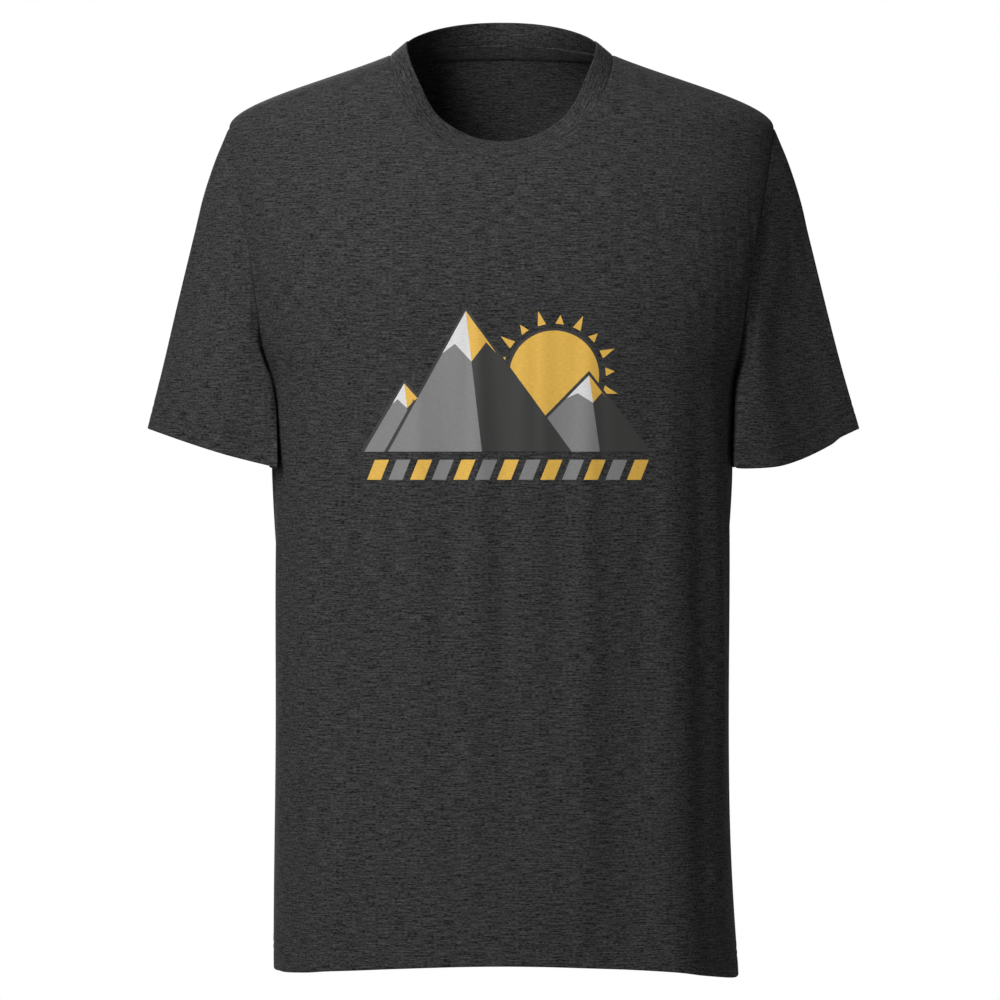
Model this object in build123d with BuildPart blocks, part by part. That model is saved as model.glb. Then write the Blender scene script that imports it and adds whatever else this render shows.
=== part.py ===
from build123d import *
import os
from math import cos, pi, radians, sin, sqrt

# A short-sleeve crew-neck T-shirt, held in the shape that it has when it is worn.
# Millimetres. The front faces -Y, the wearer's left is +X, and +Z is up.
# The origin is midway between the two high shoulder points, where the shoulder
# seams meet the collar and the wearer's shoulders carry the cloth.

# The cloth and its finishing
jersey = 0.8                 # one layer of the body cloth
rib_thickness = 1.7          # the collar, two layers of rib
tape_thickness = 0.7         # the tape over the neck and shoulder seams
tape_width = 10.0
tape_gap = 0.25              # between a tape and the cloth that it lies on
collar_width = 18.2
collar_allowance = 1.5       # how far the collar runs past its seam before it is trimmed to it
body_hem_width = 20.0
sleeve_hem_width = 19.0

# The body
body_length = 695.0          # from the high shoulder point down to the hem at the side
chest_half_width = 177.0
waist_half_width = 174.5
hem_half_width = 177.5
chest_front_depth = 124.0
chest_back_depth = 110.0
hem_front_depth = 119.0
hem_back_depth = 112.0
front_hem_rise = 9.5          # the middle of the front hem above its sides
back_hem_rise = 6.0

# The neck and the shoulders
neck_half_width = 85.0
front_neck_drop = 82.0
back_neck_rise = 11.7
neck_front_depth = 56.0
neck_back_depth = 64.0
neck_cone = 1.5              # how far the form narrows for each millimetre above the seam
shoulder_half_width = 208.0
shoulder_drop = 54.0
shoulder_front_depth = 77.0
shoulder_back_depth = 84.0
shoulder_round = 0.9         # how much the shoulder line bows up
collar_front_lean = 45.0     # degrees that the collar stands up from the level
collar_side_lean = 38.0
collar_back_lean = 88.0

# The armholes and the sleeves
armhole_depth = 245.0        # from the high shoulder point down to the underarm
armhole_bulge = 12.0         # how far the body form stands out past the armhole seam
sleeve_hem_out = 271.5       # the outer corner of the sleeve hem
sleeve_hem_outer_drop = 284.0
sleeve_hem_inner_drop = 313.0
sleeve_clearance = 3.0       # between the sleeve's underside and the body's side
sleeve_half_depth = 66.0
sleeve_cap_reach = 5.2       # how far the sleeve cap bows out from a straight line
sleeve_squareness = 2.2

outline_points = 31          # points on the front or back half of each outline
collar_steps = 10            # lengths between the sections of the collar's front or back half
run_out = 2.0                # how far a form runs past the edge that it is cut to
far = 400.0                  # beyond everything


def smooth(stations, at):
    """The value at one place, on a curve through (place, value) stations that never overshoots."""
    places = [place for place, _ in stations]
    values = [value for _, value in stations]
    steps = [b - a for a, b in zip(places, places[1:])]
    grades = [(b - a) / step for a, b, step in zip(values, values[1:], steps)]
    slopes = [grades[0]]
    for before, after in zip(grades, grades[1:]):
        slopes.append(0.0 if before * after <= 0 else 2 * before * after / (before + after))
    slopes.append(grades[-1])
    i = 0
    while i < len(steps) - 1 and at > places[i + 1]:
        i += 1
    t = (at - places[i]) / steps[i]
    if t < 0 or t > 1:
        edge = 0 if t < 0 else 1
        return values[i + edge] + slopes[i + edge] * (at - places[i + edge])
    rise = values[i + 1] - values[i]
    return (
        values[i]
        + rise * t * t * (3 - 2 * t)
        + steps[i] * t * (1 - t) * (slopes[i] * (1 - t) - slopes[i + 1] * t)
    )


def armhole_share(height):
    """0 at the underarm and 1 at the shoulder tip."""
    return (height + armhole_depth) / (armhole_depth - shoulder_drop)


def armhole_seam(height):
    """Half the width between the armhole seams, which are straight when seen from the front."""
    return chest_half_width + (shoulder_half_width - chest_half_width) * armhole_share(height)


def body_half_width(height):
    """Half the width of the body form at one height."""
    if height >= 0:
        return neck_half_width - neck_cone * height
    if height >= -shoulder_drop:
        share = -height / shoulder_drop
        bowed = share + shoulder_round * share**2 * (1 - share)
        return neck_half_width + (shoulder_half_width - neck_half_width) * bowed
    if height >= -armhole_depth:
        share = armhole_share(height)
        return armhole_seam(height) + armhole_bulge * 4 * share * (1 - share)
    waist = -armhole_depth - (body_length - armhole_depth) * 0.3
    return smooth(
        [(-body_length, hem_half_width), (waist, waist_half_width), (-armhole_depth, chest_half_width)],
        height,
    )


def body_front_depth(height):
    """How far the body form stands out in front at one height."""
    return smooth(
        [
            (-body_length, hem_front_depth),
            (-armhole_depth * 1.3, chest_front_depth),
            (-armhole_depth * 0.8, chest_front_depth * 0.975),
            (-(armhole_depth + shoulder_drop) / 2, chest_front_depth * 0.91),
            (-shoulder_drop, shoulder_front_depth),
            (0, neck_front_depth),
        ],
        height,
    )


def body_back_depth(height):
    """How far the body form stands out behind at one height."""
    return smooth(
        [
            (-body_length, hem_back_depth),
            (-armhole_depth * 1.6, chest_back_depth * 0.98),
            (-(armhole_depth + shoulder_drop) / 2, chest_back_depth * 1.01),
            (-shoulder_drop, shoulder_back_depth),
            (0, neck_back_depth),
        ],
        height,
    )


def body_squareness(height):
    """The power of the body's oval: 2 is an ellipse, and more is boxier."""
    return smooth([(-body_length, 2.7), (-armhole_depth, 2.5), (-shoulder_drop, 2.0), (0, 2.0)], height)


def body_depth(x, height):
    """(front, back): how far the body form stands out at one place seen from the front."""
    power = body_squareness(height)
    share = max(0.0, 1 - (abs(x) / body_half_width(height)) ** power) ** (1 / power)
    return body_front_depth(height) * share, body_back_depth(height) * share


def half_outline(half_width, depth, power):
    """Points of half an oval from one side to the other, on the side that depth's sign says."""
    points = []
    for i in range(outline_points):
        turn = pi * i / (outline_points - 1)
        reach = (abs(cos(turn) / half_width) ** power + abs(sin(turn) / depth) ** power) ** (-1 / power)
        across = -reach * cos(turn)
        along = reach * sin(turn) if 0 < i < outline_points - 1 else 0.0
        points.append((across, along if depth > 0 else -along))
    return points


bottom = -body_length - run_out
top = back_neck_rise + run_out
hem_top = -body_length + body_hem_width + max(front_hem_rise, back_hem_rise) + run_out


def body_sections(facing, low, high):
    """(plane, outline of an inset) down the front (-1) or the back (1) of the body form."""
    spread = [(bottom, -armhole_depth, 4), (-armhole_depth, -shoulder_drop, 9)]
    spread += [(-shoulder_drop, 0, 6), (0, top, 1)]
    heights = [spread[0][0]]
    for start, end, count in spread:
        heights += [start + (end - start) * (i + 1) / count for i in range(count)]
    sections = []
    for height in [low] + [h for h in heights if low + 1 < h < high - 1] + [high]:

        def outline(inset, height=height):
            up = height + inset
            depth = body_front_depth(up) if facing < 0 else body_back_depth(up)
            return half_outline(body_half_width(up) - inset, facing * (depth - inset), body_squareness(up))

        sections.append((Plane.XY.offset(height), outline))
    return sections


def sleeve_line(share):
    """The top and the underside (x, z) of the left sleeve's silhouette, 0 at the seam and 1 at the hem."""
    bow = sleeve_cap_reach * share * (1 - share) ** 3 / (0.25 * 0.75**3)
    under_out = body_half_width(-sleeve_hem_inner_drop) + sleeve_clearance - chest_half_width
    top = (
        shoulder_half_width + (sleeve_hem_out - shoulder_half_width) * share + bow,
        -shoulder_drop - (sleeve_hem_outer_drop - shoulder_drop) * share,
    )
    under = (
        chest_half_width + under_out * share + sleeve_clearance * 2 * share * (1 - share),
        -armhole_depth - (sleeve_hem_inner_drop - armhole_depth) * share,
    )
    return top, under


def sleeve_sections(facing, first, last, count):
    """(plane, outline of an inset) down the front (-1) or the back (1) of the left sleeve."""
    sections = []
    for i in range(count):
        share = first + (last - first) * i / (count - 1)
        top, under = sleeve_line(share)
        length = sqrt((top[0] - under[0]) ** 2 + (top[1] - under[1]) ** 2)
        middle = ((top[0] + under[0]) / 2, 0, (top[1] + under[1]) / 2)
        along = Vector(top[0] - under[0], 0, top[1] - under[1]).normalized()
        plane = Plane(origin=middle, x_dir=along, z_dir=along.cross(Vector(0, 1, 0)))
        opened = share * (2 - share)

        def outline(inset, length=length, opened=opened):
            points = []
            for j in range(outline_points):
                place = -cos(pi * j / (outline_points - 1))
                height = -armhole_depth + (armhole_depth - shoulder_drop) * (1 + place) / 2
                joint = body_depth(armhole_seam(height), height)[0 if facing < 0 else 1]
                hem = sleeve_half_depth * max(0.0, 1 - abs(place) ** sleeve_squareness) ** (
                    1 / sleeve_squareness
                )
                depth = joint + (hem - joint) * opened
                narrowed = 1 - inset / sleeve_half_depth
                if j in (0, outline_points - 1):
                    depth = 0.0
                points.append((place * (length / 2 - inset), facing * depth * narrowed))
            return points

        sections.append((plane, outline))
    return sections


def outline_edge(points, start, end):
    """A smooth edge through the points of a half outline, in step with every other section's edge."""
    steps = [i / (len(points) - 1) for i in range(len(points))]
    first = (Vector(*points[1]) - Vector(*points[0])).length * (len(points) - 1)
    last = (Vector(*points[-1]) - Vector(*points[-2])).length * (len(points) - 1)
    return Edge.make_spline(
        [Vector(*point) for point in points],
        tangents=[Vector(0, start * first), Vector(0, end * last)],
        parameters=steps,
        scale=False,
    )


def cloth(sections, facing, outer_inset, inner_inset):
    """A layer of cloth between two insets of a form, through half outlines."""
    with BuildPart() as layer:
        for plane, outline in sections:
            outside = outline(outer_inset)
            inside = outline(inner_inset)
            with BuildSketch(plane):
                with BuildLine():
                    add(outline_edge(outside, facing, -facing))
                    Line(outside[-1], inside[-1])
                    add(outline_edge(inside[::-1], facing, -facing))
                    Line(inside[0], outside[0])
                make_face()
        loft(ruled=True)
    return layer.part


def below_hem(rise, lift):
    """Everything under the arched hem line of the body, lifted by some of its width."""
    hem = -body_length + lift
    with BuildPart() as block:
        with BuildSketch(Plane.XZ):
            with BuildLine():
                Polyline(
                    (hem_half_width, hem),
                    (far, hem),
                    (far, hem - far),
                    (-far, hem - far),
                    (-far, hem),
                    (-hem_half_width, hem),
                )
                ThreePointArc((-hem_half_width, hem), (0, hem + rise), (hem_half_width, hem))
            make_face()
        extrude(amount=far, both=True)
    return block.part


def above_neck(facing, drop):
    """Everything above the front or the back neckline, lowered by some of the cloth under it."""
    with BuildPart() as block:
        with BuildSketch(Plane.XZ):
            with BuildLine():
                side = -drop
                if facing < 0:
                    points = [
                        (
                            -neck_half_width * cos(pi * i / 12),
                            side - front_neck_drop * sin(pi * i / 12),
                        )
                        for i in range(13)
                    ]
                    Spline(*points, tangents=[(0, -1), (0, 1)], tangent_scalars=[1, 1])
                else:
                    middle = (0, side + back_neck_rise)
                    ThreePointArc((-neck_half_width, side), middle, (neck_half_width, side))
                Polyline(
                    (neck_half_width, side),
                    (neck_half_width, far),
                    (-neck_half_width, far),
                    (-neck_half_width, side),
                )
            make_face()
        extrude(amount=far, both=True)
    return block.part


with BuildPart() as beyond_armholes:
    with BuildSketch(Plane.XZ):
        for hand in (1, -1):
            with BuildLine():
                Polyline(
                    (hand * chest_half_width, -armhole_depth),
                    (hand * shoulder_half_width, -shoulder_drop),
                    (hand * far, -shoulder_drop),
                    (hand * far, -armhole_depth),
                    close=True,
                )
            make_face()
    extrude(amount=far, both=True)

panels = {}
for name, facing, rise in (("front_panel", -1, front_hem_rise), ("back_panel", 1, back_hem_rise)):
    fold = cloth(body_sections(facing, bottom, hem_top), facing, jersey / 2, 2 * jersey)
    wall = cloth(body_sections(facing, bottom, top), facing, 0, jersey)
    fold_reach = below_hem(rise, body_hem_width)
    waste = [below_hem(rise, 0), above_neck(facing, 0), beyond_armholes.part]
    with BuildPart() as panel:
        add(fold)
        add(fold_reach, mode=Mode.INTERSECT)
        add(wall)
        for block in waste:
            add(block, mode=Mode.SUBTRACT)
    panel.part.label = name
    panels[name] = panel.part


sleeve_bits = {}
for facing in (-1, 1):
    sleeve_bits[facing] = [
        cloth(sleeve_sections(facing, 0.0, 1.0, 6), facing, 0, jersey),
        cloth(sleeve_sections(facing, 0.6, 1.0, 3), facing, jersey / 2, 2 * jersey),
    ]
hem_outer, hem_inner = sleeve_line(1.0)
hem_tilt = Vector(hem_outer[0] - hem_inner[0], 0, hem_outer[1] - hem_inner[1]).normalized()
hem_plane = Plane(
    origin=((hem_outer[0] + hem_inner[0]) / 2, 0, (hem_outer[1] + hem_inner[1]) / 2),
    x_dir=hem_tilt,
    z_dir=hem_tilt.cross(Vector(0, 1, 0)),
)
with BuildPart() as above_sleeve_hem:
    with BuildSketch(hem_plane.offset(-sleeve_hem_width)):
        Rectangle(far, far)
    extrude(amount=-far)

with BuildPart() as left_sleeve:
    for facing in (-1, 1):
        add(sleeve_bits[facing][1])
    add(above_sleeve_hem.part, mode=Mode.SUBTRACT)
    for facing in (-1, 1):
        add(sleeve_bits[facing][0])
with BuildPart() as right_sleeve:
    add(mirror(left_sleeve.part, about=Plane.YZ, mode=Mode.PRIVATE))
left_sleeve.part.label = "left_sleeve"
right_sleeve.part.label = "right_sleeve"


def neck_seam(share):
    """A point of the neckline on the wearer's left, 0 at the middle of the front and 2 at that of the back."""
    if share <= 1:
        turn = pi / 2 * (1 - share) ** 2
        x = neck_half_width * cos(turn)
        z = -front_neck_drop * sin(turn)
        return Vector(x, -body_depth(x, z)[0], z)
    turn = pi / 2 * (share - 1)
    x = neck_half_width * cos(turn)
    z = back_neck_rise * (1 - (x / neck_half_width) ** 2)
    return Vector(x, body_depth(x, z)[1], z)


def collar_plane(share):
    """Across the collar at one place: x along its width, away from the seam, and z along the ring."""
    mirrored = -1 if share < 0 or share > 2 else 1
    place = abs(share) if share < 2 else 4 - share
    if place > 2:
        place = 4 - place
    at = neck_seam(place)
    if place in (0, 2):
        run = Vector(1 if place == 0 else -1, 0, 0)
    elif place == 1:
        run = Vector(0, 1, 0)
    else:
        run = (neck_seam(place + 0.02) - neck_seam(place - 0.02)).normalized()
    inward = Vector(-run.Y, run.X, 0).normalized()
    lean = radians(smooth([(0, collar_front_lean), (1, collar_side_lean), (2, collar_back_lean)], place))
    rise = inward * cos(lean) + Vector(0, 0, 1) * sin(lean)
    rise = (rise - run * rise.dot(run)).normalized()
    if mirrored < 0:
        at = Vector(-at.X, at.Y, at.Z)
        rise = Vector(-rise.X, rise.Y, rise.Z)
        run = Vector(run.X, -run.Y, -run.Z)
    return Plane(origin=at, x_dir=rise, z_dir=run)


collar_halves = {}
for facing, first in ((-1, -1.0), (1, 1.0)):
    ring = [collar_plane(first + 2 * i / collar_steps) for i in range(collar_steps + 1)]
    with BuildPart() as half:
        for plane in ring:
            with BuildSketch(plane):
                with Locations(((collar_width - collar_allowance) / 2, -jersey / 2)):
                    Rectangle(collar_width + collar_allowance, rib_thickness)
        loft(ruled=True)
    kept = above_neck(facing, 0)
    with BuildPart() as trimmed:
        add(half.part)
        add(kept, mode=Mode.INTERSECT)
    collar_halves[facing] = trimmed.part

with BuildPart() as collar_band:
    add(collar_halves[-1])
    add(collar_halves[1])
collar_band.part.label = "collar_band"

inner_inset = jersey + tape_gap
tape_layers = {}
for facing in (-1, 1):
    tape_layers[facing] = cloth(
        body_sections(facing, -shoulder_drop - tape_width, top),
        facing,
        inner_inset,
        inner_inset + tape_thickness,
    )
tape_reach = above_neck(1, tape_width)
tape_limit = above_neck(1, tape_gap)
with BuildPart() as neck_tape:
    add(tape_layers[1])
    add(tape_reach, mode=Mode.INTERSECT)
    add(tape_limit, mode=Mode.SUBTRACT)
neck_tape.part.label = "neck_tape"

with BuildPart() as left_shoulder_tape:
    add(tape_layers[-1])
    add(tape_layers[1])
    with Locations(((neck_half_width + shoulder_half_width) / 2, 0, -far / 2)):
        Box(shoulder_half_width - neck_half_width - tape_width, tape_width, far + 10, mode=Mode.INTERSECT)
with BuildPart() as right_shoulder_tape:
    add(mirror(left_shoulder_tape.part, about=Plane.YZ, mode=Mode.PRIVATE))
left_shoulder_tape.part.label = "left_shoulder_tape"
right_shoulder_tape.part.label = "right_shoulder_tape"

os.makedirs("parts", exist_ok=True)
for shape in (
    panels["front_panel"],
    panels["back_panel"],
    left_sleeve.part,
    right_sleeve.part,
    collar_band.part,
    neck_tape.part,
    left_shoulder_tape.part,
    right_shoulder_tape.part,
):
    export_step(shape, "parts/" + shape.label + ".step")
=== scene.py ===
import bpy
import numpy as np
from math import cos, dist, pi, radians, sin
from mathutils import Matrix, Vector


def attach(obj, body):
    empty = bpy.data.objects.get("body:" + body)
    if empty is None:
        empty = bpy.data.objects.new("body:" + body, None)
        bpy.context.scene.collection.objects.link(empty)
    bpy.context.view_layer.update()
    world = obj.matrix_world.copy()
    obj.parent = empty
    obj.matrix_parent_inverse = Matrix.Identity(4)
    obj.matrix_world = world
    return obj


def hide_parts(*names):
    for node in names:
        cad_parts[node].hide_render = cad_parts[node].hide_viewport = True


# A short-sleeve crew-neck T-shirt in dark grey heather jersey, with a printed chest.
# Lengths here are in millimetres, and turned into metres when a mesh is made.
# The front faces -Y, its left side, as worn, is +X, and +Z is up.

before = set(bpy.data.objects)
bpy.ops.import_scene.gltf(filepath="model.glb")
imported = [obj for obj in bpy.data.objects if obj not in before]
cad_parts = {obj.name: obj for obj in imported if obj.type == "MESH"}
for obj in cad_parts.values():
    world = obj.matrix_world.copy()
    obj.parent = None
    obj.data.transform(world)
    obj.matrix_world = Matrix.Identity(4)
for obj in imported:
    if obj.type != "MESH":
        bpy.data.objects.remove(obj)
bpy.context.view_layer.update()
scene = bpy.context.scene

# The garment's measures
MM = 0.001
JERSEY = 0.8
TAPE = 0.5
BODY_LENGTH = 695.0
CHEST_HALF = 177.0
WAIST_HALF = 174.5
HEM_HALF = 177.5
CHEST_FRONT = 124.0
CHEST_BACK = 110.0
HEM_FRONT = 119.0
HEM_BACK = 112.0
FRONT_HEM_RISE = 9.5
BACK_HEM_RISE = 6.0
NECK_HALF = 85.0
FRONT_NECK_DROP = 82.0
BACK_NECK_RISE = 11.7
NECK_FRONT = 56.0
NECK_BACK = 64.0
NECK_CONE = 1.5
COLLAR_WIDTH = 18.2
SHOULDER_HALF = 208.0
SHOULDER_DROP = 54.0
SHOULDER_FRONT = 77.0
SHOULDER_BACK = 84.0
SHOULDER_ROUND = 0.9
ARMHOLE_DEPTH = 245.0
ARMHOLE_BULGE = 12.0
SLEEVE_HEM_OUT = 271.5
SLEEVE_OUTER_DROP = 284.0
SLEEVE_INNER_DROP = 313.0
SLEEVE_CLEARANCE = 3.0
SLEEVE_HALF_DEPTH = 66.0
SLEEVE_CAP_REACH = 5.2
SLEEVE_SQUARENESS = 2.2
BODY_HEM = 20.0
SLEEVE_HEM = 19.0

# How finely the cloth is laid out
NECK_CELLS = 20
SHOULDER_CELLS = 22
SIDE_CELLS = 72
ARMHOLE_CELLS = 34
SLEEVE_CELLS = 34
ACROSS = NECK_CELLS + SHOULDER_CELLS
UP = SIDE_CELLS + ARMHOLE_CELLS
EVENING_ROUNDS = 260
EVENING_STEP = 0.8


def smooth(stations, at):
    """A smooth line through stations of place and value, read at one place."""
    places = [p for p, _ in stations]
    values = [v for _, v in stations]
    steps = [b - a for a, b in zip(places, places[1:])]
    grades = [(b - a) / s for a, b, s in zip(values, values[1:], steps)]
    slopes = [grades[0]]
    for before, after in zip(grades, grades[1:]):
        slopes.append(0.0 if before * after <= 0 else 2 * before * after / (before + after))
    slopes.append(grades[-1])
    i = 0
    while i < len(steps) - 1 and at > places[i + 1]:
        i += 1
    t = (at - places[i]) / steps[i]
    if t < 0 or t > 1:
        edge = 0 if t < 0 else 1
        return values[i + edge] + slopes[i + edge] * (at - places[i + edge])
    rise = values[i + 1] - values[i]
    return values[i] + rise * t * t * (3 - 2 * t) + steps[i] * t * (1 - t) * (
        slopes[i] * (1 - t) - slopes[i + 1] * t
    )


def armhole_seam(z):
    share = (z + ARMHOLE_DEPTH) / (ARMHOLE_DEPTH - SHOULDER_DROP)
    return CHEST_HALF + (SHOULDER_HALF - CHEST_HALF) * share


def half_width(z):
    if z >= 0:
        return NECK_HALF - NECK_CONE * z
    if z >= -SHOULDER_DROP:
        share = -z / SHOULDER_DROP
        bowed = share + SHOULDER_ROUND * share**2 * (1 - share)
        return NECK_HALF + (SHOULDER_HALF - NECK_HALF) * bowed
    if z >= -ARMHOLE_DEPTH:
        share = (z + ARMHOLE_DEPTH) / (ARMHOLE_DEPTH - SHOULDER_DROP)
        return armhole_seam(z) + ARMHOLE_BULGE * 4 * share * (1 - share)
    waist = -ARMHOLE_DEPTH - (BODY_LENGTH - ARMHOLE_DEPTH) * 0.3
    return smooth([(-BODY_LENGTH, HEM_HALF), (waist, WAIST_HALF), (-ARMHOLE_DEPTH, CHEST_HALF)], z)


def depth(z, facing):
    middle = -(ARMHOLE_DEPTH + SHOULDER_DROP) / 2
    if facing < 0:
        return smooth(
            [
                (-BODY_LENGTH, HEM_FRONT),
                (-ARMHOLE_DEPTH * 1.3, CHEST_FRONT),
                (-ARMHOLE_DEPTH * 0.8, CHEST_FRONT * 0.975),
                (middle, CHEST_FRONT * 0.91),
                (-SHOULDER_DROP, SHOULDER_FRONT),
                (0, NECK_FRONT),
            ],
            z,
        )
    return smooth(
        [
            (-BODY_LENGTH, HEM_BACK),
            (-ARMHOLE_DEPTH * 1.6, CHEST_BACK * 0.98),
            (middle, CHEST_BACK * 1.01),
            (-SHOULDER_DROP, SHOULDER_BACK),
            (0, NECK_BACK),
        ],
        z,
    )


def squareness(z):
    return smooth([(-BODY_LENGTH, 2.7), (-ARMHOLE_DEPTH, 2.5), (-SHOULDER_DROP, 2.0), (0, 2.0)], z)


def surface_depth(x, z, facing):
    power = squareness(z)
    share = max(0.0, 1 - (abs(x) / half_width(z)) ** power) ** (1 / power)
    return facing * depth(z, facing) * share


def form_size(x, y, z, facing):
    """1 on the body's surface, less inside and more outside."""
    power = np.interp(z, HEIGHTS, POWERS)
    across = np.abs(x) / np.interp(z, HEIGHTS, WIDTHS)
    through = np.abs(y) / np.interp(z, HEIGHTS, DEPTHS[facing])
    return (across**power + through**power) ** (1 / power)


def onto_form(points, facing):
    """Moves points by the shortest way onto the body's surface."""
    points = points.copy()
    for _ in range(2):
        x, y, z = points[..., 0], points[..., 1], points[..., 2]
        here = form_size(x, y, z, facing)
        slope = np.stack(
            [
                form_size(x + 0.25, y, z, facing) - form_size(x - 0.25, y, z, facing),
                form_size(x, y + 0.25, z, facing) - form_size(x, y - 0.25, z, facing),
                form_size(x, y, z + 0.5, facing) / 2 - form_size(x, y, z - 0.5, facing) / 2,
            ],
            axis=-1,
        ) / 0.5
        points += ((1 - here) / (slope**2).sum(axis=-1))[..., None] * slope
        points[..., 0] = np.maximum(points[..., 0], 0)
        points[..., 1] = facing * np.maximum(facing * points[..., 1], 0)
    return points


def line_runs(points):
    """How far along a line each of its points is."""
    return np.concatenate([[0], np.cumsum(np.linalg.norm(np.diff(points[:, :3], axis=0), axis=1))])


def column_runs(rows):
    """How far down its column each point of a grid is."""
    runs = np.cumsum(np.linalg.norm(np.diff(rows[..., :3], axis=0), axis=2), axis=0)
    return np.concatenate([np.zeros((1, rows.shape[1])), runs])


def read_at(places, runs, points):
    """A line's points and all that goes with them, read at places along its run."""
    return np.stack([np.interp(places, runs, points[:, k]) for k in range(points.shape[1])], axis=1)


def even(points, count):
    """Points spaced evenly along a line through many points."""
    points = np.array(points, dtype=float)
    runs = line_runs(points)
    return read_at(np.linspace(0, runs[-1], count + 1), runs, points)


def hem_height(x, facing):
    rise = FRONT_HEM_RISE if facing < 0 else BACK_HEM_RISE
    return -BODY_LENGTH + rise * (1 - (min(abs(x), HEM_HALF) / HEM_HALF) ** 2)


def neck_point(share, facing):
    """A point of the neck seam on the left, with share 0 at the shoulder and 1 at the middle."""
    if facing < 0:
        turn = pi / 2 * share**2
        x = NECK_HALF * cos(turn)
        z = -FRONT_NECK_DROP * sin(turn)
    else:
        turn = pi / 2 * share
        x = NECK_HALF * cos(turn)
        z = BACK_NECK_RISE * (1 - (x / NECK_HALF) ** 2)
    return (x, surface_depth(x, z, facing), z)


def quarter(facing):
    """A quarter of the body as rows of points, from the hem up and from the middle out."""
    hem = []
    for i in range(400):
        turn = pi / 2 * i / 399
        power = squareness(-BODY_LENGTH)
        x = HEM_HALF * sin(turn) ** (2 / power)
        z = hem_height(x, facing)
        hem.append((x, surface_depth(x, z, facing) if i < 399 else 0.0, z))
    bottom = even(hem, ACROSS)
    neck = even([neck_point(1 - i / 400, facing) for i in range(401)], NECK_CELLS)
    shoulder = []
    for i in range(401):
        z = -SHOULDER_DROP * i / 400
        shoulder.append((half_width(z), 0.0, z))
    top = np.vstack([neck, even(shoulder, SHOULDER_CELLS)[1:]])
    side_heights = np.linspace(-BODY_LENGTH, -ARMHOLE_DEPTH, 200)
    side = even([(half_width(z), 0.0, z) for z in side_heights], SIDE_CELLS)
    armhole = []
    for i in range(601):
        share = (1 - cos(pi * i / 600)) / 2
        z = -ARMHOLE_DEPTH + (ARMHOLE_DEPTH - SHOULDER_DROP) * share
        x = armhole_seam(z)
        armhole.append((x, surface_depth(x, z, facing) if 0 < i < 600 else 0.0, z))
    outer = np.vstack([side, even(armhole, ARMHOLE_CELLS)[1:]])
    neck_height = -FRONT_NECK_DROP if facing < 0 else BACK_NECK_RISE
    middle_heights = np.interp(
        np.linspace(0, 1, UP + 1),
        [0, SIDE_CELLS / UP, 1],
        [hem_height(0, facing), -ARMHOLE_DEPTH - 12, neck_height],
    )
    inner = np.array([(0.0, surface_depth(0, z, facing), z) for z in middle_heights])
    grid = np.zeros((UP + 1, ACROSS + 1, 3))
    for j in range(UP + 1):
        q = j / UP
        for i in range(ACROSS + 1):
            p = i / ACROSS
            low = (1 - p) * bottom[0] + p * bottom[-1]
            high = (1 - p) * top[0] + p * top[-1]
            corners = (1 - q) * low + q * high
            grid[j, i] = (1 - p) * inner[j] + p * outer[j] + (1 - q) * bottom[i] + q * top[i] - corners
    grid[1:-1, 1:-1] = onto_form(grid[1:-1, 1:-1], facing)
    # each point is drawn towards the middle of its neighbours until the rows run evenly
    for _ in range(EVENING_ROUNDS):
        grid[1:-1, 1:-1] += EVENING_STEP * (
            (grid[:-2, 1:-1] + grid[2:, 1:-1] + grid[1:-1, :-2] + grid[1:-1, 2:]) / 4 - grid[1:-1, 1:-1]
        )
        grid[1:-1, 1:-1] = onto_form(grid[1:-1, 1:-1], facing)
    return grid


HEIGHTS = np.linspace(-BODY_LENGTH, BACK_NECK_RISE, 1411)
WIDTHS = np.array([half_width(z) for z in HEIGHTS])
POWERS = np.array([squareness(z) for z in HEIGHTS])
DEPTHS = {facing: np.array([depth(z, facing) for z in HEIGHTS]) for facing in (-1, 1)}


def sleeve_ring(share, count):
    """Points round the left sleeve, from the underarm up the front and back down the back."""
    bow = SLEEVE_CAP_REACH * share * (1 - share) ** 3 / (0.25 * 0.75**3)
    top = np.array(
        [
            SHOULDER_HALF + (SLEEVE_HEM_OUT - SHOULDER_HALF) * share + bow,
            -SHOULDER_DROP - (SLEEVE_OUTER_DROP - SHOULDER_DROP) * share,
        ]
    )
    reach = half_width(-SLEEVE_INNER_DROP) + SLEEVE_CLEARANCE - CHEST_HALF
    under = np.array(
        [
            CHEST_HALF + reach * share + SLEEVE_CLEARANCE * 2 * share * (1 - share),
            -ARMHOLE_DEPTH - (SLEEVE_INNER_DROP - ARMHOLE_DEPTH) * share,
        ]
    )
    sides = []
    for facing in (-1, 1):
        line = []
        for i in range(301):
            place = -cos(pi * i / 300)
            z = -ARMHOLE_DEPTH + (ARMHOLE_DEPTH - SHOULDER_DROP) * (1 + place) / 2
            joint = abs(surface_depth(armhole_seam(z), z, facing))
            power = SLEEVE_SQUARENESS
            mouth = SLEEVE_HALF_DEPTH * (1 - min(abs(place), 1) ** power) ** (1 / power)
            deep = joint + (mouth - joint) * share * (2 - share)
            if i in (0, 300):
                deep = 0.0
            x, height = under + (top - under) * (1 + place) / 2
            line.append((x, facing * deep, height))
        sides.append(even(line, count))
    return np.vstack([sides[0], sides[1][-2:0:-1]])


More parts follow.
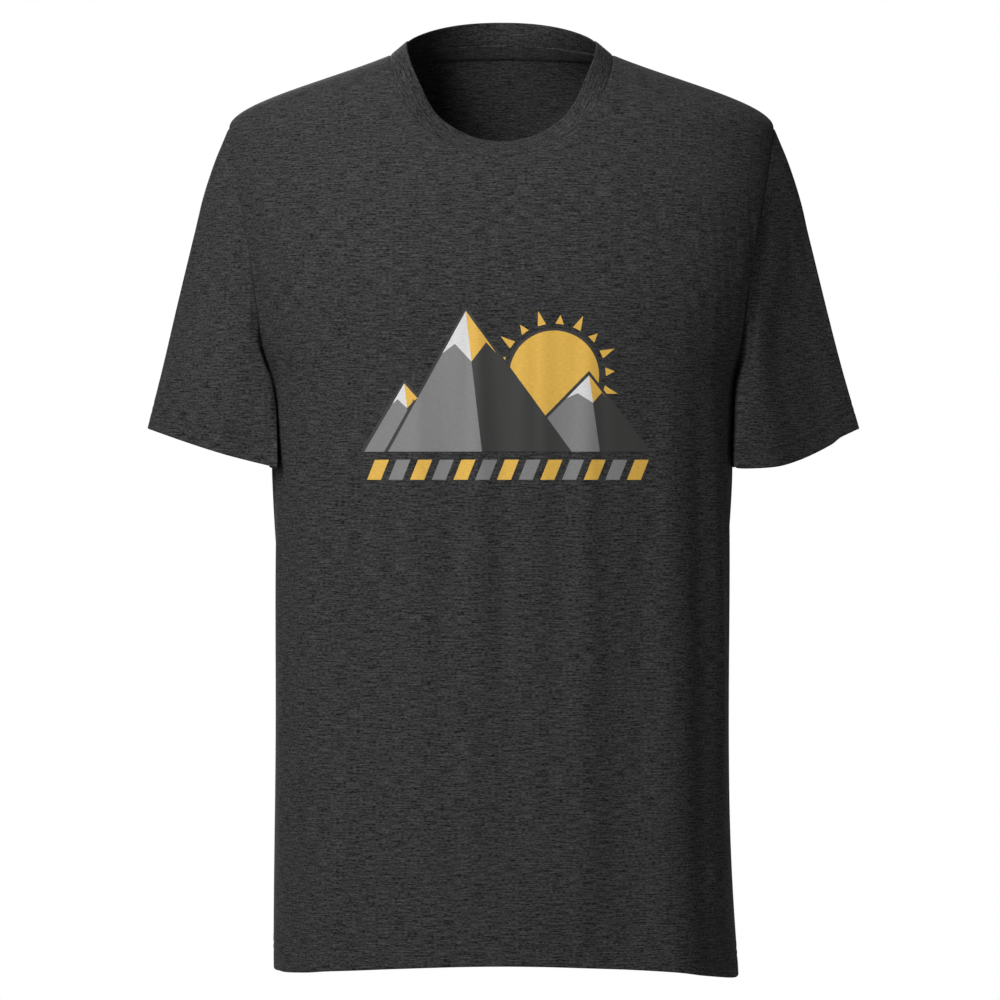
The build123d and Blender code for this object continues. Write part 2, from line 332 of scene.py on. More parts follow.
def lay_out():
    """The shirt as one welded sheet: its points, and the point numbers of each piece in rows."""
    points = []
    number = {}

    def place(point):
        key = tuple(int(round(value * 50)) for value in point)
        if key not in number:
            number[key] = len(points)
            points.append(point)
        return number[key]

    pieces = {}
    for name, facing in (("front", -1), ("back", 1)):
        block = quarter(facing)
        mirrored = block * np.array([-1, 1, 1])
        rows = np.concatenate([mirrored[:, :0:-1], block], axis=1)
        pieces[name] = np.array([[place(tuple(p)) for p in row] for row in rows])
    armhole = {}
    for facing, name in ((-1, "front"), (1, "back")):
        armhole[facing] = pieces[name][SIDE_CELLS:, -1]
    ring = [points[k] for k in armhole[-1]] + [points[k] for k in armhole[1][-2:0:-1]]
    for side, name in ((1, "left_sleeve"), (-1, "right_sleeve")):
        rows = []
        for j in range(SLEEVE_CELLS + 1):
            share = j / SLEEVE_CELLS
            loop = np.array(ring) if j == 0 else sleeve_ring(share, ARMHOLE_CELLS)
            loop = loop * np.array([side, 1, 1])
            rows.append([place(tuple(p)) for p in loop])
        pieces[name] = np.array(rows)
    return np.array(points), pieces


def grid_faces(rows, columns, closed=False, turned=False):
    faces = []
    for j in range(rows - 1):
        for i in range(columns if closed else columns - 1):
            k = (i + 1) % columns
            face = (j * columns + i, j * columns + k, (j + 1) * columns + k, (j + 1) * columns + i)
            faces.append(face[::-1] if turned else face)
    return faces


def sheet_faces(pieces):
    """The faces of the whole welded sheet, all turned outwards."""
    faces = []
    for name, closed, turned in (
        ("front", False, False),
        ("back", False, True),
        ("left_sleeve", True, True),
        ("right_sleeve", True, False),
    ):
        numbers = pieces[name].ravel()
        cells = grid_faces(*pieces[name].shape, closed, turned)
        faces.extend(tuple(numbers[list(cell)]) for cell in cells)
    return faces


def normals_of(points, faces):
    faces = np.array(faces)
    corners = points[faces]
    across = np.cross(corners[:, 2] - corners[:, 0], corners[:, 3] - corners[:, 1])
    sums = np.zeros_like(points)
    for k in range(4):
        np.add.at(sums, faces[:, k], across)
    return sums / np.linalg.norm(sums, axis=1)[:, None]


def along(rows, distances):
    """Points at given distances from the first row, measured down each column."""
    runs = column_runs(rows)
    columns = [read_at(distances, runs[:, i], rows[:, i]) for i in range(rows.shape[1])]
    return np.stack(columns, axis=1)


def closer_rows(rows, distances, kept):
    """Puts closer rows at the first edge of a grid, and keeps the rows from number kept on."""
    return np.concatenate([along(rows[: kept + 2], distances), rows[kept:]])


def relined(rows, near, count):
    """Rows at given distances from the first, then count rows even over the rest of each column."""
    columns = []
    for i in range(rows.shape[1]):
        runs = line_runs(rows[:, i])
        places = np.concatenate([near, np.linspace(near[-1], runs[-1], count + 1)[1:]])
        columns.append(read_at(places, runs, rows[:, i]))
    return np.stack(columns, axis=1)


def unit(vectors):
    return vectors / np.linalg.norm(vectors, axis=-1)[..., None]


def bare():
    bpy.ops.object.select_all(action="DESELECT")


def use(piece):
    bare()
    piece.select_set(True)
    bpy.context.view_layer.objects.active = piece


def piece_from(name, points, faces, uvs=None):
    """An object from points in millimetres, with a UV map in metres if one is given."""
    mesh = bpy.data.meshes.new(name)
    corners = [tuple(int(k) for k in face) for face in faces]
    mesh.from_pydata((np.array(points) * MM).tolist(), [], corners)
    if uvs is not None:
        layer = mesh.uv_layers.new(name="cloth")
        numbers = np.zeros(len(mesh.loops), dtype=np.int32)
        mesh.loops.foreach_get("vertex_index", numbers)
        layer.data.foreach_set("uv", (np.array(uvs)[numbers] * MM).astype(np.float32).ravel())
    piece = bpy.data.objects.new(name, mesh)
    scene.collection.objects.link(piece)
    return piece


def apply_all(piece):
    use(piece)
    for modifier in list(piece.modifiers):
        bpy.ops.object.modifier_apply(modifier=modifier.name)


def merged(piece, close=False):
    """Merges the points of a ring's first and last column, and bridges its open edges if asked to."""
    use(piece)
    bpy.ops.object.mode_set(mode="EDIT")
    bpy.ops.mesh.select_all(action="SELECT")
    bpy.ops.mesh.remove_doubles(threshold=0.000002)
    if close:
        bpy.ops.mesh.select_all(action="DESELECT")
        bpy.ops.mesh.select_non_manifold(
            extend=False,
            use_boundary=True,
            use_wire=False,
            use_multi_face=False,
            use_non_contiguous=False,
            use_verts=False,
        )
        bpy.ops.mesh.bridge_edge_loops()
        bpy.ops.mesh.select_all(action="SELECT")
        bpy.ops.mesh.normals_make_consistent(inside=False)
    bpy.ops.object.mode_set(mode="OBJECT")


def subdivided(piece):
    finer = piece.modifiers.new("finer", "SUBSURF")
    finer.levels = finer.render_levels = 1
    return finer


def cloth_from_grid(name, grid, uvs, closed=False, turned=False, thickness=JERSEY):
    """A piece of cloth whose grid is its outer face, smoothed and given its thickness inwards."""
    if closed:
        # the UV map needs a second first column, so the ring is closed by merging
        grid = np.concatenate([grid, grid[:, :1]], axis=1)
    faces = grid_faces(*grid.shape[:2], turned=turned)
    piece = piece_from(name, grid[..., :3].reshape(-1, 3), faces, uvs.reshape(-1, 2))
    if closed:
        merged(piece)
    subdivided(piece).boundary_smooth = "PRESERVE_CORNERS"
    thick = piece.modifiers.new("thick", "SOLIDIFY")
    thick.thickness = thickness * MM
    thick.offset = -1
    apply_all(piece)
    use(piece)
    bpy.ops.object.shade_smooth_by_angle(angle=radians(55))
    return piece


# How the worn cloth is creased: the line of each fold seen from the front, its half width,
# and its height, negative for a valley.
FOLDS = [
    ([(-176, -112), (-174, -128)], 5, 1.2),
    ([(-224, -137), (-226, -170), (-225, -215)], 6, -1.0),
    ([(146, -215), (147, -330), (149, -520), (151, -700)], 8, -2.6),
    ([(163, -225), (164, -400), (165, -600), (166, -700)], 7, 1.5),
    ([(152, -615), (172, -654)], 7, 2.0),
    ([(205, -105), (198, -150), (190, -200), (187, -250), (186, -335)], 5.5, -2.6),
    ([(189, -130), (183, -170), (176, -215), (172, -250), (170, -300)], 5, 1.2),
    ([(216, -128), (212, -161), (206, -191), (199, -214), (195, -240), (194, -312)], 6, 1.5),
    ([(206, -232), (207, -262), (208, -305)], 6, -1.2),
    ([(219, -238), (223, -305)], 6, 1.2),
    ([(-206, -92), (-199, -132), (-191, -160), (-182, -186), (-176, -202)], 4.5, -1.5),
    ([(-120, -650), (-105, -560)], 16, 0.8),
    ([(60, -655), (74, -560)], 18, 0.8),
]


def fold_heights(points, normals):
    """How far the folds raise each point, on the cloth that faces the front."""
    heights = np.zeros(len(points))
    flat = points[:, [0, 2]]
    frontal = np.clip(-normals[:, 1] * 2.5 - 0.1, 0, 1)
    for line, reach, height in FOLDS:
        nearest = np.full(len(points), 1e9)
        place = np.zeros(len(points))
        total = sum(dist(a, b) for a, b in zip(line, line[1:]))
        run = 0.0
        for a, b in zip(line, line[1:]):
            a, b = np.array(a, dtype=float), np.array(b, dtype=float)
            span = np.linalg.norm(b - a)
            share = np.clip(((flat - a) @ (b - a)) / span**2, 0, 1)
            gap = np.linalg.norm(flat - a - share[:, None] * (b - a), axis=1)
            closer = gap < nearest
            nearest[closer] = gap[closer]
            place[closer] = (run + share[closer] * span) / total
            run += span
        taper = np.clip(np.minimum(place, 1 - place) * 4 + 0.15, 0, 1)
        heights += height * np.exp(-((nearest / reach) ** 2)) * taper * frontal
    return heights


def level_run(points, facing):
    """How far each point is from the middle line, measured level round the body."""
    power = np.interp(points[:, 2], HEIGHTS, POWERS)
    width = np.interp(points[:, 2], HEIGHTS, WIDTHS)
    deep = np.interp(points[:, 2], HEIGHTS, DEPTHS[facing])
    across = (np.abs(points[:, 0]) / width) ** (power / 2)
    through = (np.abs(points[:, 1]) / deep) ** (power / 2)
    turn = np.arctan2(across, through)
    steps = np.linspace(0, 1, 33)[:, None] * turn[None, :]
    x = width * np.sin(steps) ** (2 / power)
    y = deep * np.cos(steps) ** (2 / power)
    run = np.hypot(np.diff(x, axis=0), np.diff(y, axis=0)).sum(axis=0)
    return np.sign(points[:, 0]) * run


def body_uvs(start, facing):
    """Where each point of a body panel lies on the cloth, its courses level and its wales upright."""
    across = level_run(start.reshape(-1, 3), facing).reshape(start.shape[:2])
    # over the shoulders the cloth leans back, so it is longer there than it is high
    tilt = np.clip((start[..., 2] + ARMHOLE_DEPTH) / ARMHOLE_DEPTH, 0, 1)
    level = start[..., 2] + BODY_LENGTH + tilt**3 * 60 * (1 - np.abs(start[..., 1]) / 130)
    return np.stack([across, level], axis=-1)


# Hems and seams: how far from the edge the stitch rows run, how far a seam turns in, half the
# gap of a hem's fold, how many rows a hem's relief takes in, and the stitches' depth and size
BODY_STITCHES = (14.0, 19.0)
SLEEVE_STITCHES = (13.0, 18.0)
SEAM_DIP = 0.9
FOLD = 0.9
HEM_ROWS = 14
STITCH_SINK = 0.12
STITCH_PITCH = 3.2
STITCH_LENGTH = 2.7
STITCH_WIDTH = 0.42


def with_hem(grid, width):
    """Turns the first edge of a grid inside, as a hem: a round fold and a second layer.

    Each place of the grid holds a point, its normal and its place on the flat cloth.
    """
    point, normal = grid[..., :3], grid[..., 3:6]
    off = unit(point[0] - point[1])
    rows = []
    for angle in (150, 120, 90, 60, 30):
        turn = radians(angle)
        row = grid[0].copy()
        row[:, :3] = point[0] - normal[0] * FOLD * (1 - cos(turn)) + off * FOLD * sin(turn)
        row[:, 7] = grid[0, :, 7] - FOLD * turn
        rows.append(row)
    inner = along(grid[:12], [width, width - 4, width - 9, 5, 1.5, 0])
    inner[..., :3] -= inner[..., 3:6] * 2 * FOLD
    inner[..., 7] = 2 * grid[0, :, 7] - inner[..., 7] - FOLD * pi
    return np.concatenate([inner, np.array(rows), grid])


def hem_relief(grid, stitches, width):
    """Presses the cloth in along the twin rows of stitches; it rises a little beside them."""
    edge = grid[:HEM_ROWS]
    runs = column_runs(edge)

    def ridge(distance, reach):
        return np.exp(-(((runs - distance) / reach) ** 2))

    low = sum(ridge(line, 1.1) for line in stitches)
    puff = ridge(sum(stitches) / 2, 1.6) + 0.6 * ridge(width + 2.4, 1.8)
    wave = np.sin(edge[..., 6] / 4.1) * np.sin(edge[..., 6] / 9.7 + 1.3)
    puckers = ridge(stitches[0] - 4, 5.5) * wave * 0.16
    edge[..., :3] += edge[..., 3:6] * (puff * 0.28 - low * 0.38 + puckers)[..., None]


def pressed_seam(grid, stitched=1.0):
    """The last row lies in a seam, so the cloth turns in there."""
    grid[-1, :, :3] -= grid[-1, :, 3:6] * SEAM_DIP * stitched
    grid[-2, :, :3] -= grid[-2, :, 3:6] * SEAM_DIP * stitched * 0.25
    grid[-3, :, :3] += grid[-3, :, 3:6] * SEAM_DIP * stitched * 0.12


def flip(grid):
    return grid[::-1]


def turned_over(grid):
    return grid.transpose(1, 0, 2)


def closer_last(grid, distances):
    """Puts closer rows at the last edge of a grid."""
    return flip(closer_rows(flip(grid), distances, 1))


def body_panel(name, key, facing, points, start, normals, pieces):
    numbers = pieces[key]
    grid = np.concatenate([points[numbers], normals[numbers], body_uvs(start[numbers], facing)], axis=2)
    near = [0, 1.5, 4.5, 8, 11, 12.6, 14, 15.4, 17.2, 19, 20.6, 22.4, 25.5, 30]
    grid = closer_rows(grid, near, 6)
    hem_relief(grid, BODY_STITCHES, BODY_HEM)
    grid = closer_last(grid, [0, 0.9, 3])
    grid = turned_over(closer_last(flip(closer_last(turned_over(grid), [0, 0.9, 3])), [0, 0.9, 3]))
    pressed_seam(grid)
    sideways = turned_over(grid)
    for edge in (sideways, sideways[::-1]):
        pressed_seam(edge, 0.7)
    grid = with_hem(turned_over(sideways), BODY_HEM)
    return cloth_from_grid(name, grid, grid[..., 6:8], turned=facing > 0)


def sleeve_cloth(name, key, side, points, start, normals, pieces):
    # the ring is opened along the outer fold, where the two halves of the flat cloth part
    numbers = np.roll(pieces[key], -ARMHOLE_CELLS, axis=1)
    ring = points[numbers]
    ring = np.concatenate([ring, ring[:, :1]], axis=1)
    # the courses run level, so a place on the cloth is a level run from the underarm and a height
    out, deep = np.abs(ring[..., 0]), np.abs(ring[..., 1])
    inner, outer = out.min(axis=1)[:, None], out.max(axis=1)[:, None]
    round_edge = np.clip(70 - deep, 0, 70) * ((out - inner) / (outer - inner)) ** 2
    run = out - CHEST_HALF + 0.6 * round_edge
    run[:, :ARMHOLE_CELLS] *= -1
    flat = np.stack([run + 600 * side, ring[..., 2]], axis=-1)
    grid = np.concatenate([points[numbers], normals[numbers]], axis=2)
    grid = np.concatenate([grid, grid[:, :1]], axis=1)
    grid = flip(np.concatenate([grid, flat], axis=2))
    near = [0, 1.5, 4.5, 7.5, 10, 11.6, 13, 14.4, 16.2, 18, 19.6, 21.4, 24.5]
    grid = relined(grid, near, SLEEVE_CELLS - 6)
    hem_relief(grid, SLEEVE_STITCHES, SLEEVE_HEM)
    # the seam allowance lies under the sleeve, so the sleeve stands a little proud beside the seam
    grid = closer_last(grid, [0, 0.9, 2.4])
    pressed_seam(grid)
    runs = column_runs(flip(grid)[:6])[1:]
    for k in range(5):
        lift = 0.55 * np.exp(-(((runs[k] - 4.0) / 3.0) ** 2))
        grid[-2 - k, :, :3] += grid[-2 - k, :, 3:6] * lift[:, None]
    grid = with_hem(grid, SLEEVE_HEM)
    return cloth_from_grid(name, grid[:, :-1], grid[..., 6:8], closed=True, turned=side < 0)


def neck_ring(count):
    """The neck seam all round: points with their share of the way from the front to the back."""
    half = []
    for i in range(401):
        share = 2 * i / 400
        point = neck_point(1 - share, -1) if share <= 1 else neck_point(share - 1, 1)
        half.append((*point, share))
    half = even(half, count // 2)
    other = half[-2:0:-1] * np.array([-1, 1, 1, 1])
    return np.concatenate([half, other])


# How far the collar leans back from level, in degrees, from the middle of the front (0),
# over the shoulder (1) to the middle of the back (2)
COLLAR_LEAN = [(0, 45), (0.28, 46), (0.5, 56), (0.75, 50), (1, 38), (2, 88)]


def collar_frame(count):
    """The neck seam's points, its run, the way the collar rises and the way its face looks."""
    ring = neck_ring(count)
    seam, share = ring[:, :3], ring[:, 3]
    run = unit(np.roll(seam, -1, axis=0) - np.roll(seam, 1, axis=0))
    level = unit(np.stack([-run[:, 1], run[:, 0], np.zeros(len(run))], axis=1))
    middle = seam.mean(axis=0)
    inward = level * np.sign(((middle - seam) * level).sum(axis=1))[:, None]
    lean = np.radians([smooth(COLLAR_LEAN, s) for s in share])[:, None]
    rise = inward * np.cos(lean) + np.array([0, 0, 1]) * np.sin(lean)
    rise = unit(rise - (rise * run).sum(axis=1)[:, None] * run)
    face = np.cross(rise, run)
    face *= np.sign((face * (np.array([0, 0, 1]) - inward)).sum(axis=1))[:, None]
    return seam, run, rise, face


def flat_places(length, width):
    """A strip's places on the flat cloth, from its runs along and across."""
    return np.stack(np.broadcast_arrays(length[None, :], width[:, None]), axis=-1)


def collar():
    """A folded band of rib, its fold upwards and its raw edges down in the neck seam."""
    count = 176
    seam, run, rise, face = collar_frame(count)
    outside = [(-1.5, 0.1), (0.0, 0.15), (0.9, 0.5), (2.6, 0.84), (7.0, 0.86), (12.0, 0.86)]
    fold = [(16.6, 0.8), (17.8, 0.5), (COLLAR_WIDTH, 0.0), (17.8, -0.5), (16.6, -0.8)]
    inside = [(12.0, -0.85), (5.0, -0.85), (2.6, -0.55), (0.8, 0.0), (-1.5, -0.1)]
    section = outside + fold + inside
    rows = np.array([seam + rise * up + face * (out - 0.4) for up, out in section])
    rows = np.concatenate([rows, rows[:, :1]], axis=1)
    flat = flat_places(line_runs(np.vstack([seam, seam[:1]])), line_runs(np.array(section)))
    faces = grid_faces(len(section), count + 1)
    piece = piece_from("collar_rib", rows.reshape(-1, 3), faces, flat.reshape(-1, 2))
    merged(piece, close=True)
    subdivided(piece)
    apply_all(piece)
    use(piece)
    bpy.ops.object.shade_smooth()
    return piece


def tape_strip(name, grid, pressed=(0.35, 0.35)):
    """A tape under the cloth, its two long edges pressed against it."""
    grid = grid.copy()
    under = np.full(grid.shape[0], JERSEY + 0.1)
    under[[0, -1]] -= pressed
    grid[..., :3] -= grid[..., 3:6] * under[:, None, None]
    flat = flat_places(line_runs(grid[0]), line_runs(grid[:, 0]))
    return cloth_from_grid(name, grid, flat, thickness=TAPE)


def neck_binding(points, normals, pieces):
    numbers = pieces["back"][::-1, ACROSS - NECK_CELLS : ACROSS + NECK_CELLS + 1]
    grid = np.concatenate([points[numbers], normals[numbers]], axis=2)[:5]
    return tape_strip("neck_binding", along(grid, [0.6, 1.6, 5, 8.5, 10.3]), pressed=(0.0, 0.4))


def shoulder_binding(name, side, points, normals, pieces):
    left, right = slice(ACROSS + NECK_CELLS + 1, 2 * ACROSS), slice(1, ACROSS - NECK_CELLS)
    columns = left if side > 0 else right
    parts = []
    for key in ("front", "back"):
        numbers = pieces[key][::-1, columns]
        parts.append(np.concatenate([points[numbers], normals[numbers]], axis=2)[:4])
    grid = np.concatenate([along(parts[0], [5, 3, 1]), along(parts[1], [0, 1, 3, 5])])
    return tape_strip(name, grid)


def stitch_rows(name, rows):
    """Rows of stitches: one is modelled, and copied along each closed line of points and normals."""
    bare()
    bpy.ops.mesh.primitive_uv_sphere_add(
        segments=6, ring_count=5, radius=0.5 * MM, rotation=(0, pi / 2, 0)
    )
    stitch = bpy.context.object
    bpy.ops.object.transform_apply(location=False, rotation=True, scale=False)
    shape = np.zeros(len(stitch.data.vertices) * 3)
    stitch.data.vertices.foreach_get("co", shape)
    size = np.array([STITCH_LENGTH, STITCH_WIDTH, STITCH_WIDTH * 0.8])
    shape = shape.reshape(-1, 3) * size / MM
    stitch_faces = [tuple(face.vertices) for face in stitch.data.polygons]
    bpy.data.objects.remove(stitch)
    points, faces = [], []
    for line in rows:
        line = np.vstack([line, line[:1]])
        spots = line[:, :3]
        runs = line_runs(spots)
        count = int(runs[-1] / STITCH_PITCH)
        places = (np.arange(count) + 0.5) * runs[-1] / count
        middle = read_at(places, runs, spots)
        up = unit(read_at(places, runs, line[:, 3:6]))
        on = unit(read_at(places + 0.3, runs, spots) - read_at(places - 0.3, runs, spots))
        side = unit(np.cross(up, on))
        up = np.cross(on, side)
        for m, a, s, u in zip(middle, on, side, up):
            base = len(points)
            points.extend(m + shape[:, :1] * a + shape[:, 1:2] * s + shape[:, 2:] * u)
            faces.extend(tuple(base + k for k in face) for face in stitch_faces)
    piece = piece_from(name, points, faces)
    use(piece)
    bpy.ops.object.mode_set(mode="EDIT")
    bpy.ops.mesh.select_all(action="SELECT")
    bpy.ops.mesh.normals_make_consistent(inside=False)
    bpy.ops.object.mode_set(mode="OBJECT")
    bpy.ops.object.shade_smooth()
    return piece


def hem_line(points, normals, numbers, distance):
    """The line of a row of stitches, at its distance from the edge."""
    grid = np.concatenate([points[numbers], normals[numbers]], axis=2)[:12]
    line = along(grid, [distance])[0]
    line[:, 3:6] = unit(line[:, 3:6])
    line[:, :3] -= line[:, 3:6] * STITCH_SINK
    return line


def feed(tree, node, fed):
    for key, output in fed.items():
        tree.links.new(output, node.inputs[key])


def add_node(tree, kind, x, y, inputs=None, fed=None, **settings):
    """Adds a node, sets its inputs' values, and feeds its other inputs from earlier nodes."""
    node = tree.nodes.new("ShaderNode" + kind)
    node.location = (x, y)
    for key, value in settings.items():
        setattr(node, key, value)
    for key, value in (inputs or {}).items():
        node.inputs[key].default_value = value
    feed(tree, node, fed or {})
    return node


def heather_knit_group():
    """Heather jersey: streaks of light and dark fibre along the courses, and the knit's relief."""
    group = bpy.data.node_groups.new("heather_knit", "ShaderNodeTree")
    for way, kind, name, value in (
        ("INPUT", "Vector", "Place", None),
        ("INPUT", "Color", "Dark", (0.02, 0.02, 0.02, 1)),
        ("INPUT", "Color", "Light", (0.08, 0.08, 0.08, 1)),
        ("INPUT", "Float", "Courses per metre", 2000.0),
        ("INPUT", "Float", "Wales per metre", 1430.0),
        ("OUTPUT", "Color", "Color", None),
        ("OUTPUT", "Float", "Height", None),
        ("OUTPUT", "Float", "Roughness", None),
    ):
        socket = group.interface.new_socket(name, in_out=way, socket_type="NodeSocket" + kind)
        if value is not None:
            socket.default_value = value
    start = group.nodes.new("NodeGroupInput")
    start.location = (-1400, 0)
    given = start.outputs
    end = group.nodes.new("NodeGroupOutput")
    end.location = (900, 0)

    def reckoned(x, y, operation, *terms):
        node = add_node(group, "Math", x, y, operation=operation)
        for k, term in enumerate(terms):
            if isinstance(term, float):
                node.inputs[k].default_value = term
            else:
                group.links.new(term, node.inputs[k])
        return node.outputs["Value"]

    def mixed(x, y, share, first, second):
        fed = {"A": first, "B": second}
        return add_node(group, "Mix", x, y, {"Factor": share}, fed, data_type="FLOAT").outputs["Result"]

    def ranged(x, y, values, fed):
        return add_node(group, "MapRange", x, y, values, {"Value": fed}).outputs["Result"]

    def streaks(y, scale, detail):
        placed = add_node(group, "Mapping", -1100, y, {"Scale": scale}, {"Vector": given["Place"]})
        values = {"Scale": 1.0, "Detail": detail, "Roughness": 0.5, "Distortion": 0.3}
        noise = add_node(group, "TexNoise", -850, y, values, {"Vector": placed.outputs["Vector"]})
        noise.noise_dimensions = "2D"
        return noise.outputs["Fac"]

    def ridges(y, place, count):
        turns = reckoned(-850, y, "MULTIPLY", place, given[count])
        return reckoned(-450, y, "SINE", reckoned(-650, y, "MULTIPLY", turns, 2 * pi))

    long_streaks = streaks(400, (85, 900, 1), 2.0)
    short_streaks = streaks(150, (400, 1000, 1), 1.0)
    mottle = streaks(-100, (22, 60, 1), 2.0)
    toned = mixed(-400, 250, 0.03, mixed(-600, 300, 0.5, long_streaks, short_streaks), mottle)
    spread = ranged(-200, 250, {"From Min": 0.34, "From Max": 0.68}, toned)
    fed = {"Factor": spread, "A": given["Dark"], "B": given["Light"]}
    shade = add_node(group, "Mix", 50, 250, fed=fed, data_type="RGBA")

    apart = add_node(group, "SeparateXYZ", -1100, -400, fed={"Vector": given["Place"]})
    wales = ridges(-350, apart.outputs["X"], "Wales per metre")
    courses = ridges(-550, apart.outputs["Y"], "Courses per metre")
    loops = reckoned(-50, -450, "ADD", wales, reckoned(-250, -550, "MULTIPLY", courses, 0.45))
    fibres = reckoned(150, -350, "MULTIPLY", short_streaks, 2.2)
    relief = reckoned(350, -400, "ADD", loops, fibres)
    rough = {"From Min": 0.3, "From Max": 0.7, "To Min": 0.97, "To Max": 0.84}
    matt = ranged(150, -100, rough, toned)
    feed(group, end, {"Color": shade.outputs["Result"], "Height": relief, "Roughness": matt})
    return group


def new_material(name):
    """A new material, its node tree and its shader."""
    material = bpy.data.materials.new(name)
    material.use_nodes = True
    return material, material.node_tree, material.node_tree.nodes["Principled BSDF"]


def cloth_finish(name, knit, dark, light, wales=1430.0, bump=0.25, use_uv=True):
    """A knitted finish, its fibres between two greys, its knit as fine as its wales say."""
    material, tree, shader = new_material(name)
    place = add_node(tree, "TexCoord", -900, 0).outputs["UV" if use_uv else "Object"]
    values = {"Dark": (*dark, 1), "Light": (*light, 1), "Wales per metre": wales}
    group = add_node(tree, "Group", -600, 0, values, {"Place": place}, node_tree=knit)
    values = {"Strength": bump, "Distance": 0.00012}
    raised = add_node(tree, "Bump", -250, -250, values, {"Height": group.outputs["Height"]})
    feed(tree, shader, {"Base Color": group.outputs["Color"], "Normal": raised.outputs["Normal"]})
    feed(tree, shader, {"Roughness": group.outputs["Roughness"]})
    shader.inputs["Specular IOR Level"].default_value = 0.03
    shader.inputs["Sheen Weight"].default_value = 0.02
    shader.inputs["Sheen Roughness"].default_value = 0.5
    return material


def ink_finish(name, colour):
    """Screen-print ink: matt, a little uneven, with the knit under it showing through."""
    material, tree, shader = new_material(name)
    place = add_node(tree, "TexCoord", -1100, 0).outputs["Object"]
    placed = add_node(tree, "Mapping", -900, 0, {"Scale": (330, 1, 1100)}, {"Vector": place})
    values = {"Scale": 1.0, "Detail": 2.0, "Roughness": 0.6}
    noise = add_node(tree, "TexNoise", -650, 0, values, {"Vector": placed.outputs["Vector"]})
    grain = noise.outputs["Fac"]
    tone = add_node(tree, "MapRange", -430, 100, {"From Min": 0.3, "From Max": 0.7}, {"Value": grain})
    values = {"A": (*(c * 0.9 for c in colour), 1), "B": (*(min(1, c * 1.07) for c in colour), 1)}
    fed = {"Factor": tone.outputs["Result"]}
    mix = add_node(tree, "Mix", -200, 100, values, fed, data_type="RGBA")
    values = {"Strength": 0.25, "Distance": 0.0001}
    raised = add_node(tree, "Bump", -200, -200, values, {"Height": grain})
    feed(tree, shader, {"Base Color": mix.outputs["Result"], "Normal": raised.outputs["Normal"]})
    shader.inputs["Roughness"].default_value = 0.62
    shader.inputs["Specular IOR Level"].default_value = 0.35
    return material


# The chest print: shapes in millimetres from its middle, each convex, in four inks.
PRINT_MIDDLE = (3.4, -260.6)


def disc(x, y, radius, sides=48):
    turns = [2 * pi * k / sides for k in range(sides)]
    return [(x + radius * cos(turn), y + radius * sin(turn)) for turn in turns]


def ray(x, y, angle, near, far, width):
    """A pointed ray of the sun, from a near distance to a far one."""
    c, s = cos(radians(angle)), sin(radians(angle))
    return [
        (x + near * c - width * s, y + near * s + width * c),
        (x + near * c + width * s, y + near * s - width * c),
        (x + far * c, y + far * s),
    ]


def print_shapes():
    """Each shape's ink, its level and its corners: a sun, faceted mountains and slanted bars."""
    sun = (36.0, 14.0)
    shapes = [("print_black", 1, disc(*sun, 35.5)), ("print_yellow", 2, disc(*sun, 33.5))]
    for k in range(18):
        shapes.append(("print_yellow", 1, ray(*sun, k * 20 + 4, 38.5, 49.5 if k % 2 else 45.5, 3.2)))
    # each mountain: left foot, peak, right foot, then its ridge foot
    base = -43.0
    for left, peak, height, right, ridge, level in (
        (6.0, 62.0, 14.0, 106.0, 70.0, 4),
        (-106.0, -76.0, 8.0, -30.0, -70.0, 4),
        (-88.0, -30.0, 62.0, 46.0, -18.0, 6),
    ):
        outline = [(left - 3, base), (peak, height + 3.4), (right + 3, base)]
        shapes.append(("print_black", level - 1, outline))
        shapes.append(("print_grey", level, [(left, base), (peak, height), (ridge, base)]))
        shapes.append(("print_black", level, [(ridge, base), (peak, height), (right, base)]))
        cap = (height - base) * 0.3
        to_left = (peak + (left - peak) * 0.3, height - cap)
        to_right = (peak + (right - peak) * 0.3, height - cap)
        to_ridge = (peak + (ridge - peak) * 0.36, height - cap * 1.2)
        step = ((to_left[0] + to_ridge[0]) / 2 - 1.5, height - cap * 0.78)
        shapes.append(("print_white", level + 1, [to_left, step, (peak, height)][::-1]))
        shapes.append(("print_white", level + 1, [step, to_ridge, (peak, height)][::-1]))
        step = ((to_right[0] + to_ridge[0]) / 2 + 1.5, height - cap * 0.74)
        shapes.append(("print_yellow", level + 1, [to_ridge, step, (peak, height)][::-1]))
        shapes.append(("print_yellow", level + 1, [step, to_right, (peak, height)][::-1]))
    for k in range(13):
        x = -104 + k * 16.2
        ink = "print_yellow" if k % 2 == 0 else "print_grey"
        shapes.append((ink, 2, [(x, -64.0), (x + 10.5, -64.0), (x + 16.5, -49.0), (x + 6.0, -49.0)]))
    return shapes


def chest_patch(cloth):
    """A copy of the outer face of the cloth where the print goes."""
    patch = cloth.copy()
    patch.data = cloth.data.copy()
    scene.collection.objects.link(patch)
    use(patch)
    bpy.ops.object.mode_set(mode="EDIT")
    bpy.ops.mesh.select_mode(type="FACE")
    bpy.ops.mesh.select_all(action="DESELECT")
    bpy.ops.object.mode_set(mode="OBJECT")
    for face in patch.data.polygons:
        x, _, z = face.center / MM
        kept = abs(x - PRINT_MIDDLE[0]) < 125 and abs(z - PRINT_MIDDLE[1]) < 85 and face.normal.y < -0.2
        face.select = not kept
    bpy.ops.object.mode_set(mode="EDIT")
    bpy.ops.mesh.delete(type="FACE")
    bpy.ops.mesh.select_mode(type="VERT")
    bpy.ops.object.mode_set(mode="OBJECT")
    return patch


